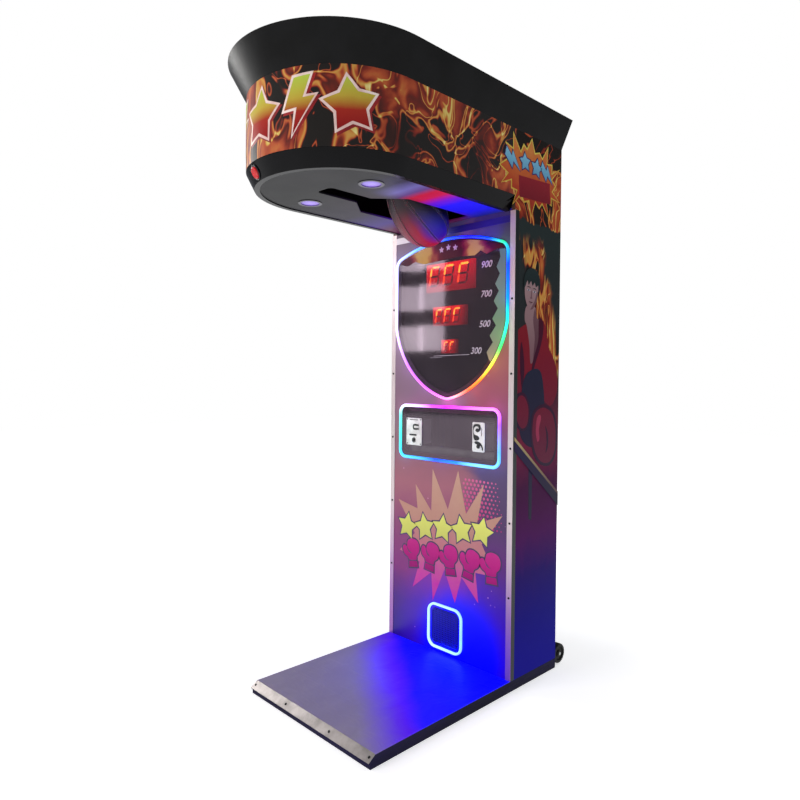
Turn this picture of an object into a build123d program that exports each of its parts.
"""Arcade boxing machine: a tall cabinet on a platform, with a D-shaped canopy that holds a swinging bag.

Sizes are in millimetres.  While the pieces are modelled, y = 0 is the cabinet's back plane, the
player stands towards -Y, x = 0 is the middle of the machine and z = 0 is the floor.  The finished
pieces are then moved along Y so that the origin is under the middle of the whole machine.
"""
from build123d import *
from math import atan2, cos, radians, sin
import os

# ---------------------------------------------------------------- driving dimensions
# cabinet and platform
CABINET_WIDTH = 668.0
CABINET_DEPTH = 315.0
TOTAL_HEIGHT = 2250.0
BOARD = 18.0                      # thickness of the wooden boards
PLATFORM_LENGTH = 1037.0
FRAME_RAIL = 20.0                 # height of the base frame's tubes
FRAME_RAIL_WIDTH = 40.0
DECK_THICKNESS = 20.0
SHEET = 2.0                       # metal sheet on the deck
NOSING_RUN = 28.0                 # how far the sloping nosing reaches forward
NOSING_DROP = 19.0                # and how far it drops

# canopy, from the top down
CROWN_HEIGHT = 108.0
CROWN_FLARE = 50.0                # how far the crown leans out at its top
CROWN_NOSE_SHIFT = 14.0           # extra lean at the nose
CROWN_WALL = 5.0
BAND_HEIGHT = 249.0
BAND_WALL = 6.0
RIM_HEIGHT = 55.0
RIM_INSET = 28.0                  # how far the rim tapers in at its bottom
RIM_WALL = 5.0
RIM_LIP = 14.0                    # inward lip that the underside panel lies on
RIM_LIP_THICKNESS = 3.0
UNDERSIDE_THICKNESS = 6.0
LID_THICKNESS = 12.0
LID_SINK = 16.0                   # how far the lid lies below the crown's top edge

# swinging bag, measured along the arm from the shaft's centre
REST_ANGLE = 57.0                 # the raised arm's angle from straight down
SHAFT_RADIUS = 12.5
RUNNING_FIT = 0.05
ARM_RADIUS = 20.0
ARM_LENGTH = 336.0
HUB_RADIUS = 24.0
HUB_HALF_LENGTH = 45.0
CLAMP_RADIUS = 34.0
CLAMP_THICKNESS = 8.0
BAG_LENGTH = 311.0
BAG_RADIUS = 102.0
BAG_TO_CABINET = 61.0             # level gap between the raised bag's tip and the cabinet's front
BAG_ABOVE_UNDERSIDE = 273.0       # shaft's centre above the underside panel
CANOPY_PAST_SHAFT = 292.0         # canopy's nose in front of the shaft
SLOT_CLEARANCE = 30.0
NARROW_SLOT_HALF_WIDTH = 40.0
NARROW_SLOT_FRONT = 45.0          # slot's front end in front of the shaft
SLOT_SHOULDER = 100.0             # length over which the slot widens

# steel frame that carries the shaft
UPRIGHT = 40.0
BEAM_WIDTH = 40.0
BEAM_HEIGHT = 60.0
BEAM_TO_BAG = 48.0                # beams' inner faces beside the bag
BEARING_HEIGHT = 35.0
BEARING_WIDTH = 34.0

STOP_DISTANCE = 190.0             # holding magnet, along the arm
STOP_PLATE_LENGTH = 92.0
STOP_PLATE_THICKNESS = 10.0
STOP_GAP = 0.4
MAGNET_RADIUS = 18.0
MAGNET_HEIGHT = 16.0
KEEPER_HEIGHT = 8.0
DISC_RADIUS = 45.0                # toothed sensor disc at the shaft's right end
DISC_THICKNESS = 3.0
DISC_TEETH = 24

# downlights in the underside and the red push button on the rim's nose
DOWNLIGHT_RADIUS = 38.0
DOWNLIGHT_X = 170.0
DOWNLIGHT_BEHIND_SHAFT = 25.0
PUSH_RADIUS = 20.0
PUSH_HOUSING_RADIUS = 22.5
PUSH_FLANGE_RADIUS = 25.0
PUSH_TURN = 12.0                  # degrees to the left of the nose's middle
PUSH_HEIGHT_SHARE = 0.46          # share of the rim's height

# score window and its light tube
SHIELD_MARGIN = 30.5              # from the cabinet's side to the tube's centre line
SHIELD_BELOW_RIM = 61.0
SHIELD_HEIGHT = 667.0
SHIELD_ARCH = 62.0                # rise of the arched top edge
SHIELD_STRAIGHT = 295.0           # straight side below the shoulders
SHIELD_SHOULDER_RADIUS = 45.0
SHIELD_TIP_RADIUS = 60.0
LIGHT_TUBE_WIDTH = 14.0
LIGHT_TUBE_DEPTH = 10.0
WINDOW_THICKNESS = 3.0
WINDOW_LAP = 18.0                 # how far a window lies over its hole's edge
DISPLAY_DEPTH = 12.0

# coin panel
COIN_PANEL_BELOW_SHIELD = 32.0
COIN_PANEL_HEIGHT = 227.0
COIN_PANEL_MARGIN = 62.0
COIN_PANEL_RADIUS = 32.0
ACCEPTOR_HEIGHT = 118.0
ACCEPTOR_DEPTH = 62.0
ACCEPTOR_PLATE = 3.0
LEFT_ACCEPTOR_WIDTH = 92.0
RIGHT_ACCEPTOR_WIDTH = 62.0
RETURN_BUTTON_RADIUS = 8.0
RETURN_TRAVEL = 3.0
BUTTON_GAP = 0.3                  # between a push button and its guide

# loudspeaker ring at the bottom
SPEAKER_RING = 180.0
SPEAKER_RING_RADIUS = 36.0
SPEAKER_RING_HEIGHT = 152.0       # ring's centre above the floor
SPEAKER_HOLE = 146.0
SPEAKER_RADIUS = 82.0
SPEAKER_DEPTH = 62.0

# trims
TRIM_WIDTH = 24.0
TRIM_THICKNESS = 1.5
TOP_TRIM_HEIGHT = 27.0
SCREW_HEAD_RADIUS = 4.5
SCREW_HEAD_HEIGHT = 2.0
SCREW_PITCH = 286.0

# back: service door, cash drawer, mains inlet
DOOR_MARGIN = 109.0
DOOR_BOTTOM = 500.0
DOOR_BELOW_RIM = 238.0
DOOR_GAP = 2.0
HINGE_PIN_RADIUS = 2.5
HINGE_KNUCKLE_RADIUS = 5.0
HINGE_CLEARANCE = 0.3             # between the turning knuckles and the back panel
HINGE_HEIGHT = 60.0
LEAF = 2.0
LOCK_RADIUS = 9.0
DRAWER_WIDTH = 220.0
DRAWER_HEIGHT = 125.0
DRAWER_BOTTOM = 300.0
DRAWER_WALL = 2.0
DRAWER_DEPTH = 286.0
DRAWER_FRONT = 4.0                # thickness of the drawer's front plate
INLET_HEIGHT = 110.0
INLET_WIDTH = 60.0
SWITCH_TILT = 10.0                # the rocker leans this far each way

# rear wheels
WHEEL_RADIUS = 40.0
WHEEL_WIDTH = 28.0
WHEEL_AXLE_RADIUS = 6.0
WHEEL_FLOOR_GAP = 3.0
WHEEL_BEHIND = 44.0               # axle behind the cabinet's back
WHEEL_PLATE = 4.0

# ---------------------------------------------------------------- places worked out from them
HALF = CABINET_WIDTH / 2
INNER = HALF - BOARD                                     # inside faces of the side panels
FRONT = -CABINET_DEPTH                                   # front face of the front panel
DECK_TOP = FRAME_RAIL + DECK_THICKNESS
CROWN_BOTTOM = TOTAL_HEIGHT - CROWN_HEIGHT
RIM_TOP = CROWN_BOTTOM - BAND_HEIGHT
RIM_BOTTOM = RIM_TOP - RIM_HEIGHT
UNDERSIDE_BOTTOM = RIM_BOTTOM + RIM_LIP_THICKNESS
UNDERSIDE_TOP = UNDERSIDE_BOTTOM + UNDERSIDE_THICKNESS
LID_TOP = TOTAL_HEIGHT - LID_SINK

SHAFT_Z = UNDERSIDE_TOP + BAG_ABOVE_UNDERSIDE
BAG_TIP = ARM_LENGTH + CLAMP_THICKNESS + BAG_LENGTH
SHAFT_Y = FRONT - BAG_TO_CABINET - BAG_TIP * sin(radians(REST_ANGLE))
NOSE_CENTRE = SHAFT_Y - CANOPY_PAST_SHAFT + HALF         # centre of the canopy's round nose
CROWN_NOSE_CENTRE = NOSE_CENTRE - CROWN_NOSE_SHIFT
BEAM_INNER = BAG_RADIUS + BEAM_TO_BAG
BEAM_OUTER = BEAM_INNER + BEAM_WIDTH
BEAM_TOP = SHAFT_Z - BEARING_HEIGHT
BEAM_BOTTOM = BEAM_TOP - BEAM_HEIGHT

SHIELD_TOP = RIM_BOTTOM - SHIELD_BELOW_RIM
SHIELD_BOTTOM = SHIELD_TOP - SHIELD_HEIGHT
SHIELD_HALF = HALF - SHIELD_MARGIN
COIN_PANEL_TOP = SHIELD_BOTTOM - COIN_PANEL_BELOW_SHIELD
COIN_PANEL_Z = COIN_PANEL_TOP - COIN_PANEL_HEIGHT / 2
COIN_PANEL_WIDTH = 2 * (HALF - COIN_PANEL_MARGIN)
LEFT_ACCEPTOR_X = -COIN_PANEL_WIDTH / 2 + LEFT_ACCEPTOR_WIDTH / 2 + 40
RIGHT_ACCEPTOR_X = COIN_PANEL_WIDTH / 2 - RIGHT_ACCEPTOR_WIDTH / 2 - 69

DOOR_HALF = HALF - DOOR_MARGIN
DOOR_TOP = RIM_BOTTOM - DOOR_BELOW_RIM
HINGE_X = -DOOR_HALF - DOOR_GAP
HINGE_Y = HINGE_KNUCKLE_RADIUS + HINGE_CLEARANCE
WHEEL_Z = WHEEL_RADIUS + WHEEL_FLOOR_GAP

CROWN_NOSE_Y = CROWN_NOSE_CENTRE - HALF - CROWN_FLARE
REAR_Y = WHEEL_BEHIND + WHEEL_RADIUS
ORIGIN_Y = (CROWN_NOSE_Y + REAR_Y) / 2

parts = {}


# ---------------------------------------------------------------- helpers
def block(x, y, z):
    """A box from three (low, high) pairs."""
    size = [high - low for low, high in (x, y, z)]
    middle = [(high + low) / 2 for low, high in (x, y, z)]
    return Pos(*middle) * Box(*size)


def rod_x(low, high, y, z, radius):
    """A round bar along X."""
    return Pos((low + high) / 2, y, z) * Rot(0, 90, 0) * Cylinder(radius, high - low)


def rod_y(low, high, x, z, radius):
    """A round bar along Y."""
    return Pos(x, (low + high) / 2, z) * Rot(90, 0, 0) * Cylinder(radius, high - low)


def rod_z(low, high, x, y, radius):
    """A round bar along Z."""
    return Pos(x, y, (low + high) / 2) * Cylinder(radius, high - low)


def from_front(sketch, depth, start=0.0):
    """Extrude a sketch drawn in X and Z towards the player, from `start` in front of the front panel."""
    return extrude(Plane.XZ.offset(CABINET_DEPTH + start) * sketch, amount=depth)


def behind_front(sketch, depth, start=0.0):
    """Extrude a sketch drawn in X and Z into the cabinet, from `start` behind the front face."""
    return extrude(Plane.XZ.offset(CABINET_DEPTH - start) * sketch, amount=-depth)


def both_sides(solid):
    """A solid and its mirror image across the middle of the machine."""
    return Compound(children=[solid, mirror(solid, Plane.YZ)])


def group(solids):
    """Several separate solids kept in one node."""
    return Compound(children=list(solids))


def dee(offset, back, centre=NOSE_CENTRE):
    """The canopy's plan: straight sides and a round nose, moved out by `offset`."""
    radius = HALF + offset
    left_side = Line((-radius, back), (-radius, centre))
    nose = ThreePointArc((-radius, centre), (0, centre - radius), (radius, centre))
    right_side = Line((radius, centre), (radius, back))
    back_edge = Line((radius, back), (-radius, back))
    return make_face([left_side, nose, right_side, back_edge])


def dee_solid(low_z, low_offset, high_z, high_offset, back, low_centre=NOSE_CENTRE, high_centre=NOSE_CENTRE):
    """A solid between two D-shaped outlines, with flat and conical sides."""
    low = Pos(0, 0, low_z) * dee(low_offset, back, low_centre)
    high = Pos(0, 0, high_z) * dee(high_offset, back, high_centre)
    return loft([low, high], ruled=True)


def dee_shell(low_z, low_offset, high_z, high_offset, wall, back, **centres):
    """The wall of such a solid, open at the top, the bottom and the back."""
    outside = dee_solid(low_z, low_offset, high_z, high_offset, back, **centres)
    inside = dee_solid(low_z, low_offset - wall, high_z, high_offset - wall, back + 10, **centres)
    return outside - inside


def rounded(width, height, radius, x=0.0, z=0.0):
    """A rounded rectangle in X and Z."""
    return Pos(x, z) * RectangleRounded(width, height, radius)


def shield(offset=0.0):
    """The score window's outline: an arched top, straight sides and a curved point."""
    shoulder_z = SHIELD_TOP - SHIELD_ARCH
    side_z = shoulder_z - SHIELD_STRAIGHT
    flank_z = SHIELD_BOTTOM + 0.46 * (side_z - SHIELD_BOTTOM)
    flank_x = 0.76 * SHIELD_HALF
    top = ThreePointArc((-SHIELD_HALF, shoulder_z), (0, SHIELD_TOP), (SHIELD_HALF, shoulder_z))
    right = Line((SHIELD_HALF, shoulder_z), (SHIELD_HALF, side_z))
    right_flank = ThreePointArc((SHIELD_HALF, side_z), (flank_x, flank_z), (0, SHIELD_BOTTOM))
    left_flank = ThreePointArc((0, SHIELD_BOTTOM), (-flank_x, flank_z), (-SHIELD_HALF, side_z))
    left = Line((-SHIELD_HALF, side_z), (-SHIELD_HALF, shoulder_z))
    outline = make_face([top, right, right_flank, left_flank, left])
    corners = outline.vertices().sort_by(Axis.Y)
    outline = fillet(corners[0], SHIELD_TIP_RADIUS)
    outline = fillet(outline.vertices().sort_by(Axis.Y)[-2:], SHIELD_SHOULDER_RADIUS)
    return offset_face(outline, offset)


def offset_face(face, distance):
    """A flat outline moved out, or in when the distance is negative."""
    if distance == 0:
        return face
    return offset(face, amount=distance)


def light_tube(outline_at):
    """A light tube along an outline: a wide foot and a narrower crest."""
    half = LIGHT_TUBE_WIDTH / 2
    foot = outline_at(half) - outline_at(-half)
    crest = outline_at(0.6 * half) - outline_at(-0.6 * half)
    return from_front(foot, 0.7 * LIGHT_TUBE_DEPTH) + from_front(crest, LIGHT_TUBE_DEPTH)


def coin_outline(offset=0.0):
    """The coin panel's rounded outline."""
    return rounded(COIN_PANEL_WIDTH + 2 * offset, COIN_PANEL_HEIGHT + 2 * offset,
                   COIN_PANEL_RADIUS + offset, 0, COIN_PANEL_Z)


def speaker_outline(offset=0.0):
    """The loudspeaker ring's rounded outline."""
    return rounded(SPEAKER_RING + 2 * offset, SPEAKER_RING + 2 * offset,
                   SPEAKER_RING_RADIUS + offset, 0, SPEAKER_RING_HEIGHT)


# ---------------------------------------------------------------- platform
def nosing_outline(depth):
    """Points of the sloping front edge, `depth` behind its outer face, as (y, z)."""
    slope = atan2(NOSING_DROP, NOSING_RUN)
    inward_y = depth * sin(slope)
    inward_z = -depth * cos(slope)
    top = (-PLATFORM_LENGTH + NOSING_RUN + inward_y, DECK_TOP + SHEET + inward_z)
    bottom = (-PLATFORM_LENGTH + inward_y, DECK_TOP + SHEET - NOSING_DROP + inward_z)
    return bottom, top


def across(points, half_width=HALF):
    """Extrude a (y, z) outline across the machine."""
    face = make_face(Polyline(*points, close=True))
    return extrude(Plane.YZ * face, amount=half_width, both=True)


def make_platform():
    """Base frame, deck board, deck sheet and nosing."""
    front = -PLATFORM_LENGTH + 8
    rail = FRAME_RAIL_WIDTH
    frame = block((-HALF, HALF), (front, 0), (0, FRAME_RAIL))
    inner_half = HALF - rail
    middle = front / 2
    bays = ((front + rail, middle - rail / 2), (middle + rail / 2, -rail))
    for bay in bays:
        frame -= block((-inner_half, inner_half), bay, (-1, FRAME_RAIL + 1))
    parts["base_frame"] = frame

    nosing_bottom, nosing_top = nosing_outline(0)
    board_bottom, board_top = nosing_outline(SHEET)
    slope_y = board_top[0] + (DECK_TOP - board_top[1]) * NOSING_RUN / NOSING_DROP
    parts["deck_board"] = across([(0, FRAME_RAIL), (board_bottom[0], FRAME_RAIL), board_bottom,
                                  (slope_y, DECK_TOP), (0, DECK_TOP)])
    parts["deck_sheet"] = across([(FRONT, DECK_TOP), (slope_y, DECK_TOP), board_top, nosing_top,
                                  (FRONT, DECK_TOP + SHEET)])
    parts["nosing"] = across([nosing_bottom, nosing_top, board_top, board_bottom])


# ---------------------------------------------------------------- cabinet
def make_cabinet():
    """Side, front and back panels, with the front panel's trims."""
    side = block((INNER, HALF), (FRONT, 0), (DECK_TOP, CROWN_BOTTOM))
    parts["right_side_panel"] = side
    parts["left_side_panel"] = mirror(side, Plane.YZ)

    front = block((-INNER, INNER), (FRONT, FRONT + BOARD), (DECK_TOP, UNDERSIDE_BOTTOM))
    front -= behind_front(shield(-LIGHT_TUBE_WIDTH / 2 - WINDOW_LAP), BOARD)
    front -= behind_front(coin_outline(-LIGHT_TUBE_WIDTH / 2 - WINDOW_LAP), BOARD)
    front -= behind_front(rounded(SPEAKER_HOLE, SPEAKER_HOLE, SPEAKER_RING_RADIUS / 2, 0,
                                  SPEAKER_RING_HEIGHT), BOARD)
    parts["front_panel"] = front

    trim_z = (DECK_TOP + SHEET, RIM_BOTTOM)
    trim = block((HALF + TRIM_THICKNESS - TRIM_WIDTH, HALF + TRIM_THICKNESS),
                 (FRONT - TRIM_THICKNESS, FRONT - TRIM_THICKNESS + TRIM_WIDTH), trim_z)
    trim -= block((0, HALF), (FRONT, 0), trim_z)
    parts["corner_trims"] = both_sides(trim)

    trim_inner = HALF + TRIM_THICKNESS - TRIM_WIDTH
    top_trim = block((-trim_inner, trim_inner), (FRONT - TRIM_THICKNESS, FRONT),
                     (RIM_BOTTOM - 16 - TOP_TRIM_HEIGHT, RIM_BOTTOM - 16))
    parts["top_trim"] = top_trim

    parts["trim_screws"] = group(trim_screws())


def trim_screws():
    """Button-head screws down both corner trims and along the nosing."""
    screws = []
    head = fillet(Cylinder(SCREW_HEAD_RADIUS, SCREW_HEAD_HEIGHT).edges().group_by(Axis.Z)[-1], 1.5)
    head = Pos(0, 0, SCREW_HEAD_HEIGHT / 2) * head
    screw_x = HALF + TRIM_THICKNESS - TRIM_WIDTH / 2
    row_top = RIM_BOTTOM - 335
    rows = int((row_top - COIN_PANEL_HEIGHT) // SCREW_PITCH) + 1
    for side in (-1, 1):
        for row in range(rows):
            place = Plane((side * screw_x, FRONT - TRIM_THICKNESS, row_top - row * SCREW_PITCH),
                          x_dir=(1, 0, 0), z_dir=(0, -1, 0))
            screws.append(place * head)
    bottom, top = nosing_outline(0)
    middle_y = (bottom[0] + top[0]) / 2
    middle_z = (bottom[1] + top[1]) / 2
    for x in (-HALF + 12, -0.37 * HALF, 0.37 * HALF, HALF - 12):
        place = Plane((x, middle_y, middle_z), x_dir=(1, 0, 0), z_dir=(0, -NOSING_DROP, NOSING_RUN))
        screws.append(place * head)
    return screws


# ---------------------------------------------------------------- score window
def make_score_window():
    """Window, light tube, printed display board and three number displays."""
    parts["score_light_tube"] = light_tube(shield)
    parts["score_window"] = from_front(shield(-LIGHT_TUBE_WIDTH / 2), WINDOW_THICKNESS)
    board_top = SHIELD_TOP + 12
    board_bottom = SHIELD_BOTTOM - 12
    parts["display_board"] = block((-SHIELD_HALF - 2, SHIELD_HALF + 2),
                                   (FRONT + BOARD, FRONT + BOARD + 4), (board_bottom, board_top))
    for name, width, height, drop in (("score_display", 262, 118, 154),
                                      ("record_display", 182, 80, 318),
                                      ("credit_display", 84, 56, 446)):
        centre_z = SHIELD_TOP - drop
        parts[name] = block((-width / 2, width / 2), (FRONT + BOARD - DISPLAY_DEPTH, FRONT + BOARD),
                            (centre_z - height / 2, centre_z + height / 2))


# ---------------------------------------------------------------- coin panel
def acceptor(x, width):
    """A coin acceptor: face plate, body, coin slot and the guide of its return button."""
    plate = from_front(rounded(width, ACCEPTOR_HEIGHT, 5, x, COIN_PANEL_Z), ACCEPTOR_PLATE,
                       WINDOW_THICKNESS)
    body = behind_front(rounded(width - 10, ACCEPTOR_HEIGHT - 10, 3, x, COIN_PANEL_Z),
                        ACCEPTOR_DEPTH + WINDOW_THICKNESS, -WINDOW_THICKNESS)
    solid = plate + body
    solid -= from_front(rounded(4, 34, 1.9, x + width / 2 - 16, COIN_PANEL_Z + 22), 40, -30)
    guide_radius = RETURN_BUTTON_RADIUS + BUTTON_GAP
    guide_depth = ACCEPTOR_PLATE + WINDOW_THICKNESS + RETURN_TRAVEL + 10
    guide = Pos(x, return_button_z()) * Circle(guide_radius)
    solid -= from_front(guide, guide_depth, ACCEPTOR_PLATE + WINDOW_THICKNESS - guide_depth)
    return solid


def return_button_z():
    """Height of both coin return buttons."""
    return COIN_PANEL_Z - ACCEPTOR_HEIGHT / 2 + 22


def return_button(x):
    """A coin return button, standing 4 mm proud of its plate."""
    front = ACCEPTOR_PLATE + WINDOW_THICKNESS + 4
    length = 4 + ACCEPTOR_PLATE + WINDOW_THICKNESS + 6
    button = from_front(Pos(x, return_button_z()) * Circle(RETURN_BUTTON_RADIUS), length, front - length)
    return fillet(button.edges().group_by(Axis.Y)[0], 1.2)


def make_coin_panel():
    """Dark window, light tube, two coin acceptors with return buttons, and the coin hopper."""
    glass = from_front(coin_outline(-LIGHT_TUBE_WIDTH / 2), WINDOW_THICKNESS)
    for x, width in ((LEFT_ACCEPTOR_X, LEFT_ACCEPTOR_WIDTH), (RIGHT_ACCEPTOR_X, RIGHT_ACCEPTOR_WIDTH)):
        glass -= from_front(rounded(width - 10, ACCEPTOR_HEIGHT - 10, 3, x, COIN_PANEL_Z), WINDOW_THICKNESS)
    parts["coin_window"] = glass
    parts["coin_light_tube"] = light_tube(coin_outline)
    parts["left_coin_acceptor"] = acceptor(LEFT_ACCEPTOR_X, LEFT_ACCEPTOR_WIDTH)
    parts["right_coin_acceptor"] = acceptor(RIGHT_ACCEPTOR_X, RIGHT_ACCEPTOR_WIDTH)
    parts["left_return_button"] = return_button(LEFT_ACCEPTOR_X)
    parts["right_return_button"] = return_button(RIGHT_ACCEPTOR_X)


def hopper_outline(inset):
    """The coin hopper's front view: a funnel above a straight neck."""
    top = COIN_PANEL_Z - ACCEPTOR_HEIGHT / 2 - 4
    bottom = DRAWER_BOTTOM + DRAWER_HEIGHT + 14
    shoulder = bottom + 0.3 * (top - bottom)
    wide = max(-LEFT_ACCEPTOR_X + LEFT_ACCEPTOR_WIDTH / 2, RIGHT_ACCEPTOR_X + RIGHT_ACCEPTOR_WIDTH / 2) - inset
    neck = 40 - inset
    end = 1 if inset else 0
    return make_face(Polyline((-wide, top + end), (-wide, top - 30), (-neck, shoulder), (-neck, bottom - end),
                              (neck, bottom - end), (neck, shoulder), (wide, top - 30), (wide, top + end),
                              close=True))


def make_coin_hopper():
    """A folded steel funnel that drops the coins into the cash drawer."""
    wall = 2.0
    depth = 42.0
    hopper = behind_front(hopper_outline(0), depth, BOARD + 4)
    hopper -= behind_front(hopper_outline(wall), depth - 2 * wall, BOARD + 4 + wall)
    parts["coin_hopper"] = hopper


# ---------------------------------------------------------------- loudspeaker
def make_speaker():
    """Light ring, flat mesh grille and the loudspeaker behind it."""
    parts["speaker_light_tube"] = light_tube(speaker_outline)
    grille = rounded(SPEAKER_HOLE, SPEAKER_HOLE, SPEAKER_RING_RADIUS / 2, 0, SPEAKER_RING_HEIGHT)
    parts["speaker_grille"] = behind_front(grille, WINDOW_THICKNESS)
    back = FRONT + BOARD
    profile = make_face(Polyline((0, 20), (24, 20), (SPEAKER_RADIUS - 8, 0), (SPEAKER_RADIUS, 0),
                                 (SPEAKER_RADIUS, 5), (SPEAKER_RADIUS - 12, 5), (36, SPEAKER_DEPTH - 22),
                                 (36, SPEAKER_DEPTH), (0, SPEAKER_DEPTH), close=True))
    speaker = revolve(profile, Axis.Y)
    parts["loudspeaker"] = Pos(0, back, SPEAKER_RING_HEIGHT) * speaker


# ---------------------------------------------------------------- canopy
def make_canopy():
    """Printed band, glossy rim, flared crown and the lid."""
    parts["canopy_band"] = dee_shell(RIM_TOP, 0, CROWN_BOTTOM, 0, BAND_WALL, FRONT)

    rim = dee_shell(RIM_BOTTOM, -RIM_INSET, RIM_TOP, 0, RIM_WALL, FRONT)
    lip_outside = dee_solid(RIM_BOTTOM, -RIM_INSET - 1, UNDERSIDE_BOTTOM, -RIM_INSET - 1, FRONT)
    lip_inset = RIM_INSET + RIM_WALL + RIM_LIP
    lip_inside = dee_solid(RIM_BOTTOM - 1, -lip_inset, UNDERSIDE_BOTTOM + 1, -lip_inset, FRONT + 10)
    rim += lip_outside - lip_inside
    rim -= on_rim(Cylinder(PUSH_HOUSING_RADIUS, 80))
    parts["canopy_rim"] = rim

    centres = {"low_centre": NOSE_CENTRE, "high_centre": CROWN_NOSE_CENTRE}
    parts["crown"] = dee_shell(CROWN_BOTTOM, 0, TOTAL_HEIGHT, CROWN_FLARE, CROWN_WALL, 0, **centres)
    lid_low = crown_at(LID_TOP - LID_THICKNESS)
    lid_high = crown_at(LID_TOP)
    parts["crown_lid"] = dee_solid(LID_TOP - LID_THICKNESS, lid_low[0] - CROWN_WALL, LID_TOP,
                                   lid_high[0] - CROWN_WALL, -BOARD, lid_low[1], lid_high[1])


def crown_at(z):
    """The crown's outward lean and nose centre at a height."""
    share = (z - CROWN_BOTTOM) / CROWN_HEIGHT
    return CROWN_FLARE * share, NOSE_CENTRE - CROWN_NOSE_SHIFT * share



def on_rim(solid):
    """Place a solid, whose +Z points out, on the rim's sloping nose where the push button sits."""
    tilt = atan2(RIM_INSET, RIM_HEIGHT)
    turn = radians(PUSH_TURN)
    radius = HALF - RIM_INSET * (1 - PUSH_HEIGHT_SHARE)
    place = Plane((-radius * sin(turn), NOSE_CENTRE - radius * cos(turn), RIM_BOTTOM + PUSH_HEIGHT_SHARE * RIM_HEIGHT),
                  x_dir=(cos(turn), -sin(turn), 0),
                  z_dir=(-sin(turn) * cos(tilt), -cos(turn) * cos(tilt), -sin(tilt)))
    return place * solid


def make_push_button():
    """A red push button in a short round housing."""
    flange = Pos(0, 0, 1.5) * Cylinder(PUSH_FLANGE_RADIUS, 3)
    barrel = Pos(0, 0, -12) * Cylinder(PUSH_HOUSING_RADIUS, 24)
    housing = flange + barrel
    housing -= Pos(0, 0, -5) * Cylinder(PUSH_RADIUS + BUTTON_GAP, 30)
    parts["push_button_housing"] = on_rim(housing)
    cap = Cylinder(PUSH_RADIUS, 16)
    cap = fillet(cap.edges().group_by(Axis.Z)[-1], 4)
    parts["push_button"] = on_rim(cap)


def slot_outline():
    """The underside panel's slot: narrow for the arm, then wide enough for the bag."""
    wide = BAG_RADIUS + SLOT_CLEARANCE
    narrow = NARROW_SLOT_HALF_WIDTH
    front = SHAFT_Y - NARROW_SLOT_FRONT
    shoulder = SHAFT_Y + 0.40 * BAG_ABOVE_UNDERSIDE + 30
    wide_front = shoulder + SLOT_SHOULDER
    back = FRONT - 26
    outline = make_face(Polyline((-narrow, front), (-narrow, shoulder), (-wide, wide_front), (-wide, back),
                                 (wide, back), (wide, wide_front), (narrow, shoulder), (narrow, front),
                                 close=True))
    return fillet(outline.vertices().group_by(Axis.Y)[0], 0.5 * narrow)


def make_underside():
    """Underside panel with its slot, and two round downlights."""
    inset = RIM_INSET + RIM_WALL
    panel = dee_solid(UNDERSIDE_BOTTOM, -inset - 0.5, UNDERSIDE_TOP, -inset - 0.5, FRONT)
    panel += block((-INNER, INNER), (FRONT, FRONT + BOARD), (UNDERSIDE_BOTTOM, UNDERSIDE_TOP))
    panel -= extrude(Pos(0, 0, UNDERSIDE_BOTTOM - 1) * slot_outline(), amount=UNDERSIDE_THICKNESS + 2)
    lamp_y = SHAFT_Y + DOWNLIGHT_BEHIND_SHAFT
    lamps = []
    for x in (-DOWNLIGHT_X, DOWNLIGHT_X):
        panel -= rod_z(UNDERSIDE_BOTTOM - 1, UNDERSIDE_TOP + 1, x, lamp_y, DOWNLIGHT_RADIUS)
        flange = rod_z(UNDERSIDE_BOTTOM - 2, UNDERSIDE_BOTTOM, x, lamp_y, DOWNLIGHT_RADIUS + 6)
        can = rod_z(UNDERSIDE_BOTTOM, UNDERSIDE_TOP + 24, x, lamp_y, DOWNLIGHT_RADIUS)
        lamp = flange + can
        lamp -= rod_z(UNDERSIDE_BOTTOM - 3, UNDERSIDE_BOTTOM, x, lamp_y, DOWNLIGHT_RADIUS - 4)
        lamps.append(lamp)
    parts["underside_panel"] = panel
    parts["downlights"] = group(lamps)


# ---------------------------------------------------------------- steel frame and shaft
def arm_frame(solid):
    """Turn a solid, modelled hanging straight down from the shaft at the origin, to the raised rest pose."""
    return Pos(0, SHAFT_Y, SHAFT_Z) * Rot(REST_ANGLE, 0, 0) * solid


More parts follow.
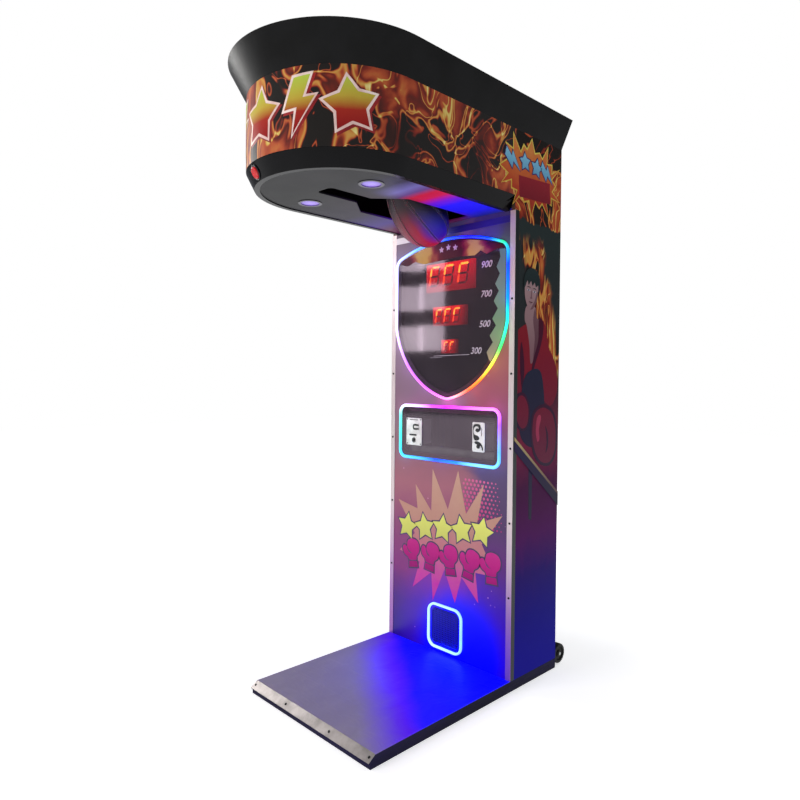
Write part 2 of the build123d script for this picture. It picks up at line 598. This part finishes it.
def make_frame():
    """Welded steel frame: two uprights, two beams to the front, cross members and the stop plate."""
    back = -BOARD
    upright = block((INNER - UPRIGHT, INNER), (back - UPRIGHT, back), (DECK_TOP, BEAM_TOP))
    beam = block((BEAM_INNER, BEAM_OUTER), (SHAFT_Y - 80, back), (BEAM_BOTTOM, BEAM_TOP))
    frame = upright + beam
    frame += mirror(upright + beam, Plane.YZ)
    frame += block((-INNER, INNER), (back - UPRIGHT, back), (BEAM_TOP - UPRIGHT, BEAM_TOP))
    frame += block((-BEAM_INNER, BEAM_INNER), (SHAFT_Y - 80, SHAFT_Y - 44), (BEAM_TOP - 40, BEAM_TOP))
    plate_top = ARM_RADIUS + KEEPER_HEIGHT + MAGNET_HEIGHT + STOP_PLATE_THICKNESS
    plate = Pos(0, plate_top - STOP_PLATE_THICKNESS / 2, -STOP_DISTANCE - 15)
    plate *= Box(2 * BEAM_INNER, STOP_PLATE_THICKNESS, STOP_PLATE_LENGTH)
    frame += arm_frame(plate)
    parts["steel_frame"] = frame

    magnet = Pos(0, ARM_RADIUS + KEEPER_HEIGHT + MAGNET_HEIGHT / 2 + STOP_GAP / 2, -STOP_DISTANCE)
    magnet *= Rot(90, 0, 0) * Cylinder(MAGNET_RADIUS, MAGNET_HEIGHT - STOP_GAP)
    parts["holding_magnet"] = arm_frame(magnet)

    buffers = []
    for x in (-11, 11):
        height = KEEPER_HEIGHT + MAGNET_HEIGHT + 6.5
        buffer = Pos(x, ARM_RADIUS + KEEPER_HEIGHT + MAGNET_HEIGHT - height / 2, -STOP_DISTANCE - 42)
        buffers.append(arm_frame(buffer * Rot(90, 0, 0) * Cylinder(9, height)))
    arm_space = arm_frame(Pos(0, 0, -STOP_DISTANCE) * Cylinder(ARM_RADIUS + STOP_GAP, 200))
    parts["stop_buffers"] = group([buffer - arm_space for buffer in buffers])

    bearings = []
    for side in (-1, 1):
        x = side * (BEAM_INNER + BEAM_OUTER) / 2
        base = block((x - BEARING_WIDTH / 2, x + BEARING_WIDTH / 2), (SHAFT_Y - 55, SHAFT_Y + 55),
                     (BEAM_TOP, BEAM_TOP + 12))
        house = rod_x(x - BEARING_WIDTH / 2, x + BEARING_WIDTH / 2, SHAFT_Y, SHAFT_Z, BEARING_HEIGHT - 3)
        bore = rod_x(x - BEARING_WIDTH, x + BEARING_WIDTH, SHAFT_Y, SHAFT_Z, SHAFT_RADIUS + RUNNING_FIT)
        bolts = [rod_z(BEAM_TOP + 12, BEAM_TOP + 18, x, SHAFT_Y + y, 7) for y in (-44, 44)]
        bearings.append(base + house + bolts[0] + bolts[1] - bore)
    parts["shaft_bearings"] = group(bearings)


def bag_profile():
    """Half outline of the bag as (radius, height): a pear shape with a rounded end."""
    top = -ARM_LENGTH - CLAMP_THICKNESS
    end = top - BAG_LENGTH
    widest = top - 0.62 * BAG_LENGTH
    neck = 0.34 * BAG_RADIUS
    side = Spline((neck, top), (0.80 * BAG_RADIUS, top - 0.22 * BAG_LENGTH), (BAG_RADIUS, widest), (0, end),
                  tangents=((0.75, -0.66), (-1, 0)))
    axis_line = Line((0, end), (0, top))
    top_line = Line((0, top), (neck, top))
    return make_face([side, axis_line, top_line])


def make_swing():
    """Shaft, arm, keeper, clamp, bag and sensor disc, in the raised rest pose."""
    shaft_end = BEAM_OUTER + 14
    shaft = Rot(0, 90, 0) * Cylinder(SHAFT_RADIUS, 2 * shaft_end)
    parts["pivot_shaft"] = arm_frame(shaft)

    hub = Rot(0, 90, 0) * Cylinder(HUB_RADIUS, 2 * HUB_HALF_LENGTH)
    tube = Pos(0, 0, -ARM_LENGTH / 2) * Cylinder(ARM_RADIUS, ARM_LENGTH)
    arm = hub + tube - Rot(0, 90, 0) * Cylinder(SHAFT_RADIUS, 4 * HUB_HALF_LENGTH)
    parts["bag_arm"] = arm_frame(arm)

    keeper = Pos(0, ARM_RADIUS / 2 + KEEPER_HEIGHT / 2, -STOP_DISTANCE)
    keeper *= Box(1.8 * ARM_RADIUS, ARM_RADIUS + KEEPER_HEIGHT, 44)
    keeper -= Pos(0, 0, -STOP_DISTANCE) * Cylinder(ARM_RADIUS, 60)
    keeper_solids = keeper.solids().sort_by(Axis.Y)
    parts["magnet_keeper"] = arm_frame(keeper_solids[-1])

    clamp = Pos(0, 0, -ARM_LENGTH - CLAMP_THICKNESS / 2) * Cylinder(CLAMP_RADIUS, CLAMP_THICKNESS)
    for turn in range(4):
        bolt = Pos(26 * cos(radians(90 * turn + 45)), 26 * sin(radians(90 * turn + 45)), -ARM_LENGTH + 2.5)
        clamp += bolt * Cylinder(5, 5)
    parts["bag_clamp"] = arm_frame(clamp)

    bag = revolve(Plane.XZ * bag_profile(), Axis.Z)
    parts["punch_bag"] = arm_frame(bag)

    disc = Pos(shaft_end - 6, 0, 0) * Rot(0, 90, 0) * Cylinder(DISC_RADIUS, DISC_THICKNESS)
    disc -= Pos(shaft_end - 6, 0, 0) * Rot(0, 90, 0) * Cylinder(SHAFT_RADIUS, 2 * DISC_THICKNESS)
    for turn in range(DISC_TEETH):
        tooth = Rot(360 / DISC_TEETH * turn, 0, 0) * Pos(shaft_end - 6, 0, DISC_RADIUS) * Box(2 * DISC_THICKNESS, 4, 12)
        disc -= tooth
    parts["sensor_disc"] = arm_frame(disc)

    disc_x = shaft_end - 6
    fork = block((BEAM_OUTER, disc_x + 9), (SHAFT_Y - 9, SHAFT_Y + 9), (SHAFT_Z - 66, SHAFT_Z - 36))
    fork -= block((disc_x - 4, disc_x + 4), (SHAFT_Y - 10, SHAFT_Y + 10), (SHAFT_Z - 50, SHAFT_Z - 35))
    parts["swing_sensor"] = fork


# ---------------------------------------------------------------- back of the cabinet
def make_back():
    """Back panel, hinged service door with its lock, cash drawer and shelf, and mains inlet."""
    lean = crown_at(LID_TOP)[0]
    outline = Polyline((-INNER, DECK_TOP), (-INNER, CROWN_BOTTOM), (-HALF + CROWN_WALL, CROWN_BOTTOM),
                       (-HALF + CROWN_WALL - lean, LID_TOP), (HALF - CROWN_WALL + lean, LID_TOP),
                       (HALF - CROWN_WALL, CROWN_BOTTOM), (INNER, CROWN_BOTTOM), (INNER, DECK_TOP), close=True)
    back = extrude(Plane.XZ * make_face(outline), amount=BOARD)
    through = (-BOARD - 1, 1)
    back -= block((HINGE_X, DOOR_HALF + DOOR_GAP), through, (DOOR_BOTTOM - DOOR_GAP, DOOR_TOP + DOOR_GAP))
    back -= block((-DRAWER_WIDTH / 2 - DOOR_GAP, DRAWER_WIDTH / 2 + DOOR_GAP), through,
                  (DRAWER_BOTTOM - DOOR_GAP, DRAWER_BOTTOM + DRAWER_HEIGHT + DOOR_GAP))
    inlet_x = -0.45 * HALF
    back -= block((inlet_x - 25, inlet_x + 25), through, (INLET_HEIGHT - 14, INLET_HEIGHT + 40))
    parts["back_panel"] = back

    door = block((-DOOR_HALF, DOOR_HALF), (-BOARD, 0), (DOOR_BOTTOM, DOOR_TOP))
    lock_x = DOOR_HALF - 30
    lock_z = (DOOR_BOTTOM + DOOR_TOP) / 2
    door -= rod_y(-BOARD - 1, 1, lock_x, lock_z, LOCK_RADIUS)
    for row in range(6):
        slot_z = DOOR_TOP - 60 - 16 * row
        door -= extrude(Plane.XZ.offset(-1) * rounded(200, 6, 2.9, 0, slot_z), amount=BOARD + 2)
    parts["service_door"] = door
    parts["door_lock"], parts["lock_cam"] = lock(lock_x, lock_z)

    fixed, moving = [], []
    span = DOOR_TOP - DOOR_BOTTOM
    for share in (0.1, 0.5, 0.9):
        low = DOOR_BOTTOM + share * span - HINGE_HEIGHT / 2
        fixed.append(hinge_half(low, True))
        moving.append(hinge_half(low, False))
    parts["hinge_pins"] = group(fixed)
    parts["hinge_sleeves"] = group(moving)

    make_cash_drawer()
    make_inlet(inlet_x)


def hinge_half(low, has_pin):
    """One half of a lift-off hinge: the lower half carries the pin, the upper half turns on it."""
    half = HINGE_HEIGHT / 2
    gap = 0.4
    base = low if has_pin else low + half + gap
    knuckle_height = half if has_pin else half - gap
    knuckle = rod_z(base, base + knuckle_height, HINGE_X, HINGE_Y, HINGE_KNUCKLE_RADIUS)
    reach = 26.0
    if has_pin:
        leaf = block((HINGE_X - reach, HINGE_X), (0, LEAF), (base, base + knuckle_height))
        pin = rod_z(base, low + HINGE_HEIGHT - 4, HINGE_X, HINGE_Y, HINGE_PIN_RADIUS)
        return knuckle + leaf + pin
    leaf = block((HINGE_X, HINGE_X + reach), (0, LEAF), (base, base + knuckle_height))
    bore = rod_z(base - 1, base + knuckle_height + 1, HINGE_X, HINGE_Y, HINGE_PIN_RADIUS + RUNNING_FIT)
    return knuckle + leaf - bore


def lock(x, z):
    """A cam lock: its round body in the door, and the turning plug with its cam."""
    plug_radius = 6.0
    body = rod_y(-BOARD, 0, x, z, LOCK_RADIUS) + rod_y(0, 2.5, x, z, LOCK_RADIUS + 2.5)
    body -= rod_y(-BOARD - 1, 4, x, z, plug_radius + RUNNING_FIT)
    plug = rod_y(-BOARD - 3.5, 3, x, z, plug_radius)
    cam = block((x - 8, x + 8), (-BOARD - 3.5, -BOARD - 1), (z - 24, z + 8))
    keyway = block((x - 1, x + 1), (-5, 5), (z - 4, z + 4))
    return body, plug + cam - keyway


def make_cash_drawer():
    """A steel cash drawer with its own front in the back panel, on a shelf between the sides."""
    half = DRAWER_WIDTH / 2
    depth = DRAWER_DEPTH
    front = -DRAWER_FRONT
    low = DRAWER_BOTTOM
    high = DRAWER_BOTTOM + DRAWER_HEIGHT
    body_top = high - 12
    drawer = block((-half + 6, half - 6), (-depth, front), (low, body_top))
    drawer -= block((-half + 6 + DRAWER_WALL, half - 6 - DRAWER_WALL), (-depth + DRAWER_WALL, front - DRAWER_WALL),
                    (low + DRAWER_WALL, body_top + 1))
    drawer += block((-half, half), (front, 0), (low, high))
    pull = block((-30, 30), (0, 14), (high - 40, high - 36)) + block((-30, 30), (10, 14), (high - 46, high - 36))
    parts["cash_drawer"] = drawer + pull

    board = block((-INNER, INNER), (-depth - 6, -BOARD - UPRIGHT), (low - DOOR_GAP / 4 - BOARD, low - DOOR_GAP / 4))
    cheek = block((half - 5, half + 1), (-depth - 6, -BOARD - UPRIGHT), (low - DOOR_GAP / 4, low + 30))
    parts["drawer_shelf"] = board + cheek + mirror(cheek, Plane.YZ)


def make_inlet(x):
    """Mains inlet with its socket and a rocker switch, in the back panel."""
    low = INLET_HEIGHT - 14
    high = INLET_HEIGHT + 40
    plate = block((x - INLET_WIDTH / 2, x + INLET_WIDTH / 2), (0, LEAF), (low - 6, high + 6))
    housing = block((x - 24, x + 24), (-34, 0), (low + 1, high - 1))
    inlet = plate + housing
    inlet -= block((x - 12, x + 12), (-18, 3), (low + 4, low + 20))
    for pin_x, pin_z in ((-7, 10), (0, 14), (7, 10)):
        inlet += block((x + pin_x - 1, x + pin_x + 1), (-19, -4), (low + pin_z - 2, low + pin_z + 2))
    inlet -= block((x - 11.5, x + 11.5), (-16, 3), (high - 24.5, high - 3.5))
    parts["mains_inlet"] = inlet

    centre_z = high - 14
    rocker = rod_x(x - 10.8, x + 10.8, -5, centre_z, 9.2)
    rocker -= block((x - 20, x + 20), (2.2, 20), (centre_z - 20, centre_z + 20))
    parts["mains_switch"] = rocker.rotate(Axis((x, -5, centre_z), (1, 0, 0)), -SWITCH_TILT)


# ---------------------------------------------------------------- wheels and electronics
def make_wheels():
    """Two transport wheels on stub axles at the bottom of the back."""
    plate_x = HALF - WHEEL_WIDTH - 8 - WHEEL_PLATE
    flange = block((plate_x - 50, plate_x + WHEEL_PLATE), (0, WHEEL_PLATE), (DECK_TOP + 2, WHEEL_Z + 60))
    web = block((plate_x, plate_x + WHEEL_PLATE), (WHEEL_PLATE / 2, WHEEL_BEHIND + 14), (WHEEL_Z - 14, WHEEL_Z + 40))
    axle_end = HALF - 4
    axle = rod_x(plate_x, axle_end, WHEEL_BEHIND, WHEEL_Z, WHEEL_AXLE_RADIUS)
    bracket = flange + web + axle
    parts["wheel_brackets"] = both_sides(bracket)

    low = plate_x + WHEEL_PLATE + 1
    tread = rod_x(low, low + WHEEL_WIDTH, WHEEL_BEHIND, WHEEL_Z, WHEEL_RADIUS)
    tread = fillet(tread.edges().filter_by(GeomType.CIRCLE), 4)
    recess = rod_x(low + WHEEL_WIDTH - 5, low + WHEEL_WIDTH + 1, WHEEL_BEHIND, WHEEL_Z, WHEEL_RADIUS - 12)
    hub = rod_x(low, low + WHEEL_WIDTH, WHEEL_BEHIND, WHEEL_Z, 14)
    bore = rod_x(low - 1, low + WHEEL_WIDTH + 1, WHEEL_BEHIND, WHEEL_Z, WHEEL_AXLE_RADIUS + RUNNING_FIT)
    wheel = tread - recess + hub - bore
    parts["right_wheel"] = wheel
    parts["left_wheel"] = mirror(wheel, Plane.YZ)


def make_electronics():
    """Control board on the left side panel and the power supply on the deck."""
    middle = SHIELD_BOTTOM + 0.4 * SHIELD_HEIGHT
    board_x = -INNER + 10
    control = block((board_x, board_x + 2), (-250, -80), (middle - 110, middle + 110))
    for y in (-242, -88):
        for z in (middle - 102, middle + 102):
            control += rod_x(-INNER, board_x, y, z, 4)
    for y, z, width, height in ((-200, 50, 40, 40), (-130, 60, 30, 60), (-190, -50, 60, 24), (-120, -40, 24, 70)):
        control += block((board_x + 2, board_x + 12), (y - width / 2, y + width / 2),
                         (middle + z - height / 2, middle + z + height / 2))
    parts["control_board"] = control

    supply = block((30, 190), (-190, -90), (DECK_TOP, DECK_TOP + 52))
    parts["power_supply"] = fillet(supply.edges().filter_by(Axis.Z), 3)


# ---------------------------------------------------------------- build and write
make_platform()
make_cabinet()
make_score_window()
make_coin_panel()
make_coin_hopper()
make_speaker()
make_canopy()
make_push_button()
make_underside()
make_frame()
make_swing()
make_back()
make_wheels()
make_electronics()

os.makedirs("parts", exist_ok=True)
print("origin is", round(-ORIGIN_Y, 3), "mm in front of the cabinet's back; shaft at y", round(SHAFT_Y - ORIGIN_Y, 3),
      "z", round(SHAFT_Z, 3))
for name, piece in parts.items():
    moved = [Pos(0, -ORIGIN_Y, 0) * solid for solid in piece.solids()]
    export_step(moved[0] if len(moved) == 1 else group(moved), f"parts/{name}.step")
print(len(parts), "nodes written")
